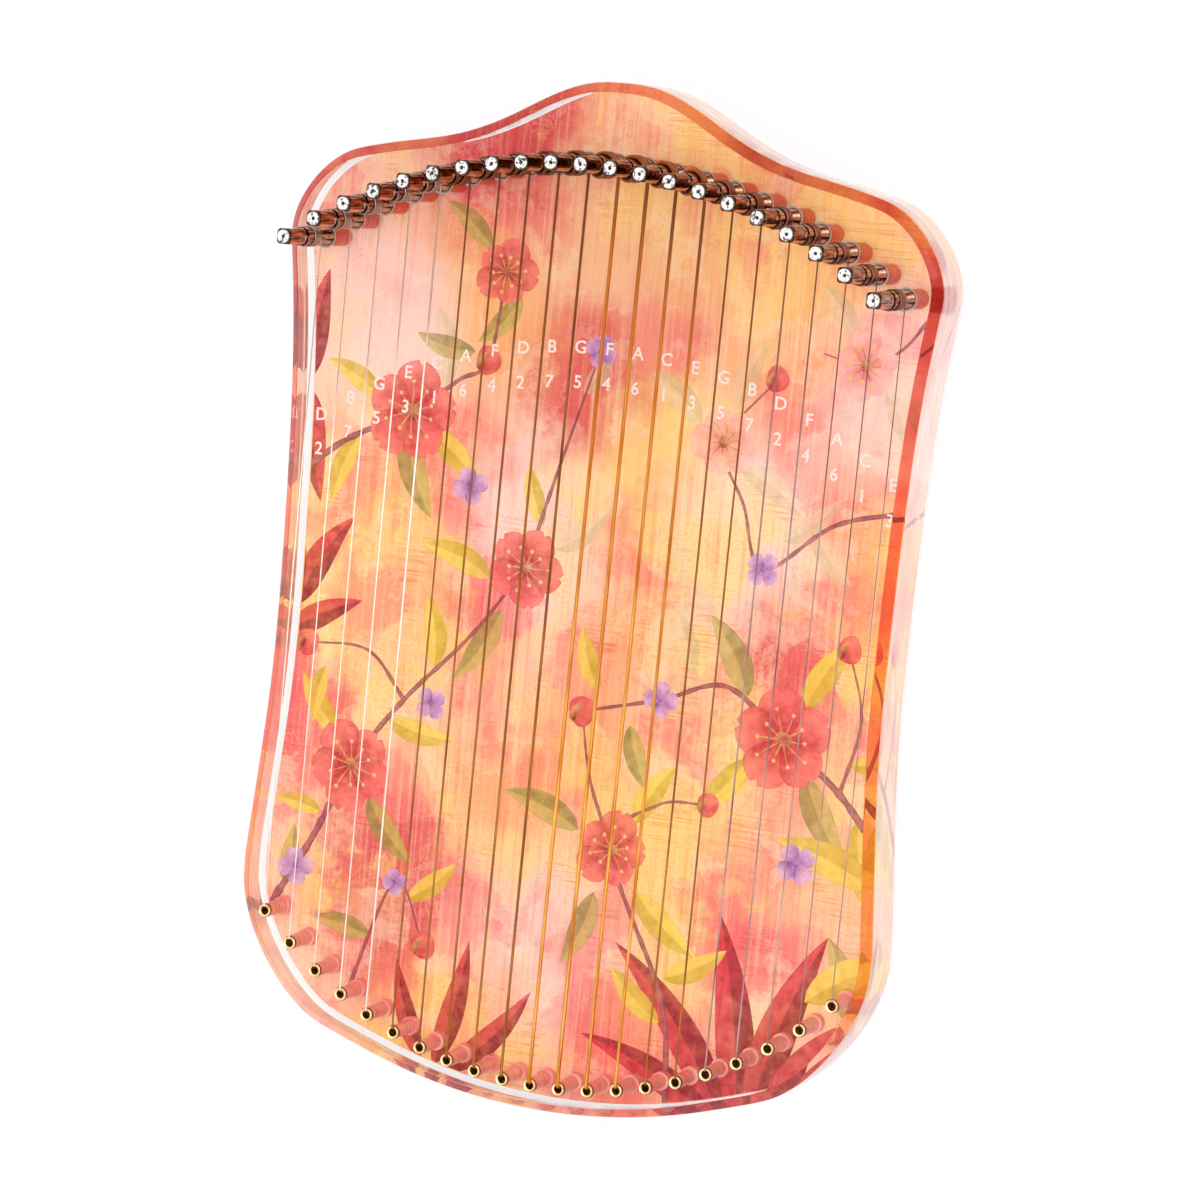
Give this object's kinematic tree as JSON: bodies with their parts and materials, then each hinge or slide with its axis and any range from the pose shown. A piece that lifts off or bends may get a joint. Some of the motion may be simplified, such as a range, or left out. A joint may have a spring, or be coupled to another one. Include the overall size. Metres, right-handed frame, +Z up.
{
  "type": "table harp",
  "caption": "Flat table harp: a thick clear plate over a picture film, with an arc of turning tuning pins, a string from each to an eyelet below, and four feet.",
  "frame": {"origin": "under the middle of the harp, on the surface that its feet stand on", "axes": "+Z up, out of the plate's front face; +Y along the strings from the eyelets to the tuning pins; +X to the right seen from the front"},
  "size_m": [0.1846, 0.2736, 0.0491],
  "materials": {
    "clear_acrylic": "clear cast acrylic, flame-polished, with polished chamfers",
    "picture_film": "printed film, satin, pink to orange watercolour wash",
    "pin_nickel": "nickel-plated steel, polished",
    "plain_steel": "bright music wire",
    "wound_bronze": "bronze-wound music wire, brass eyelet and ball end",
    "foot_silicone": "clear silicone, satin"
  },
  "bodies": {
    "harp": {"sound_plate": "clear_acrylic", "picture_film": "picture_film", "string_01": "plain_steel", "string_02": "plain_steel", "string_03": "plain_steel", "string_04": "plain_steel", "string_05": "plain_steel", "string_06": "wound_bronze", "string_07": "wound_bronze", "string_08": "wound_bronze", "string_09": "wound_bronze", "string_10": "wound_bronze", "string_11": "wound_bronze", "string_12": "wound_bronze", "string_13": "wound_bronze", "string_14": "wound_bronze", "string_15": "wound_bronze", "string_16": "wound_bronze", "string_17": "plain_steel", "string_18": "plain_steel", "string_19": "plain_steel", "string_20": "plain_steel", "string_21": "plain_steel", "foot_top_left": "foot_silicone", "foot_top_right": "foot_silicone", "foot_bottom_left": "foot_silicone", "foot_bottom_right": "foot_silicone"},
    "tuning_pin_01": {"tuning_pin_01": "pin_nickel"},
    "tuning_pin_02": {"tuning_pin_02": "pin_nickel"},
    "tuning_pin_03": {"tuning_pin_03": "pin_nickel"},
    "tuning_pin_04": {"tuning_pin_04": "pin_nickel"},
    "tuning_pin_05": {"tuning_pin_05": "pin_nickel"},
    "tuning_pin_06": {"tuning_pin_06": "pin_nickel"},
    "tuning_pin_07": {"tuning_pin_07": "pin_nickel"},
    "tuning_pin_08": {"tuning_pin_08": "pin_nickel"},
    "tuning_pin_09": {"tuning_pin_09": "pin_nickel"},
    "tuning_pin_10": {"tuning_pin_10": "pin_nickel"},
    "tuning_pin_11": {"tuning_pin_11": "pin_nickel"},
    "tuning_pin_12": {"tuning_pin_12": "pin_nickel"},
    "tuning_pin_13": {"tuning_pin_13": "pin_nickel"},
    "tuning_pin_14": {"tuning_pin_14": "pin_nickel"},
    "tuning_pin_15": {"tuning_pin_15": "pin_nickel"},
    "tuning_pin_16": {"tuning_pin_16": "pin_nickel"},
    "tuning_pin_17": {"tuning_pin_17": "pin_nickel"},
    "tuning_pin_18": {"tuning_pin_18": "pin_nickel"},
    "tuning_pin_19": {"tuning_pin_19": "pin_nickel"},
    "tuning_pin_20": {"tuning_pin_20": "pin_nickel"},
    "tuning_pin_21": {"tuning_pin_21": "pin_nickel"}
  },
  "joints": [
    {"name": "pin_turn_01", "type": "hinge", "parent": "harp", "child": "tuning_pin_01", "pos_m": [-0.0812, 0.08885, 0.0234], "axis": [0, 0, 1], "range_deg": [-1080, 45]},
    {"name": "pin_turn_02", "type": "hinge", "parent": "harp", "child": "tuning_pin_02", "pos_m": [-0.073, 0.09434, 0.0234], "axis": [0, 0, 1], "range_deg": [-1080, 45]},
    {"name": "pin_turn_03", "type": "hinge", "parent": "harp", "child": "tuning_pin_03", "pos_m": [-0.0648, 0.09904, 0.0234], "axis": [0, 0, 1], "range_deg": [-1080, 45]},
    {"name": "pin_turn_04", "type": "hinge", "parent": "harp", "child": "tuning_pin_04", "pos_m": [-0.0566, 0.10305, 0.0234], "axis": [0, 0, 1], "range_deg": [-1080, 45]},
    {"name": "pin_turn_05", "type": "hinge", "parent": "harp", "child": "tuning_pin_05", "pos_m": [-0.0484, 0.10643, 0.0234], "axis": [0, 0, 1], "range_deg": [-1080, 45]},
    {"name": "pin_turn_06", "type": "hinge", "parent": "harp", "child": "tuning_pin_06", "pos_m": [-0.0402, 0.10922, 0.0234], "axis": [0, 0, 1], "range_deg": [-1080, 45]},
    {"name": "pin_turn_07", "type": "hinge", "parent": "harp", "child": "tuning_pin_07", "pos_m": [-0.032, 0.11146, 0.0234], "axis": [0, 0, 1], "range_deg": [-1080, 45]},
    {"name": "pin_turn_08", "type": "hinge", "parent": "harp", "child": "tuning_pin_08", "pos_m": [-0.0238, 0.11317, 0.0234], "axis": [0, 0, 1], "range_deg": [-1080, 45]},
    {"name": "pin_turn_09", "type": "hinge", "parent": "harp", "child": "tuning_pin_09", "pos_m": [-0.0156, 0.11439, 0.0234], "axis": [0, 0, 1], "range_deg": [-1080, 45]},
    {"name": "pin_turn_10", "type": "hinge", "parent": "harp", "child": "tuning_pin_10", "pos_m": [-0.0074, 0.11511, 0.0234], "axis": [0, 0, 1], "range_deg": [-1080, 45]},
    {"name": "pin_turn_11", "type": "hinge", "parent": "harp", "child": "tuning_pin_11", "pos_m": [0.0008, 0.11535, 0.0234], "axis": [0, 0, 1], "range_deg": [-1080, 45]},
    {"name": "pin_turn_12", "type": "hinge", "parent": "harp", "child": "tuning_pin_12", "pos_m": [0.009, 0.11511, 0.0234], "axis": [0, 0, 1], "range_deg": [-1080, 45]},
    {"name": "pin_turn_13", "type": "hinge", "parent": "harp", "child": "tuning_pin_13", "pos_m": [0.0172, 0.11439, 0.0234], "axis": [0, 0, 1], "range_deg": [-1080, 45]},
    {"name": "pin_turn_14", "type": "hinge", "parent": "harp", "child": "tuning_pin_14", "pos_m": [0.0254, 0.11317, 0.0234], "axis": [0, 0, 1], "range_deg": [-1080, 45]},
    {"name": "pin_turn_15", "type": "hinge", "parent": "harp", "child": "tuning_pin_15", "pos_m": [0.0336, 0.11146, 0.0234], "axis": [0, 0, 1], "range_deg": [-1080, 45]},
    {"name": "pin_turn_16", "type": "hinge", "parent": "harp", "child": "tuning_pin_16", "pos_m": [0.0418, 0.10922, 0.0234], "axis": [0, 0, 1], "range_deg": [-1080, 45]},
    {"name": "pin_turn_17", "type": "hinge", "parent": "harp", "child": "tuning_pin_17", "pos_m": [0.05, 0.10643, 0.0234], "axis": [0, 0, 1], "range_deg": [-1080, 45]},
    {"name": "pin_turn_18", "type": "hinge", "parent": "harp", "child": "tuning_pin_18", "pos_m": [0.0582, 0.10305, 0.0234], "axis": [0, 0, 1], "range_deg": [-1080, 45]},
    {"name": "pin_turn_19", "type": "hinge", "parent": "harp", "child": "tuning_pin_19", "pos_m": [0.0664, 0.09904, 0.0234], "axis": [0, 0, 1], "range_deg": [-1080, 45]},
    {"name": "pin_turn_20", "type": "hinge", "parent": "harp", "child": "tuning_pin_20", "pos_m": [0.0746, 0.09434, 0.0234], "axis": [0, 0, 1], "range_deg": [-1080, 45]},
    {"name": "pin_turn_21", "type": "hinge", "parent": "harp", "child": "tuning_pin_21", "pos_m": [0.0828, 0.08885, 0.0234], "axis": [0, 0, 1], "range_deg": [-1080, 45]}
  ]
}
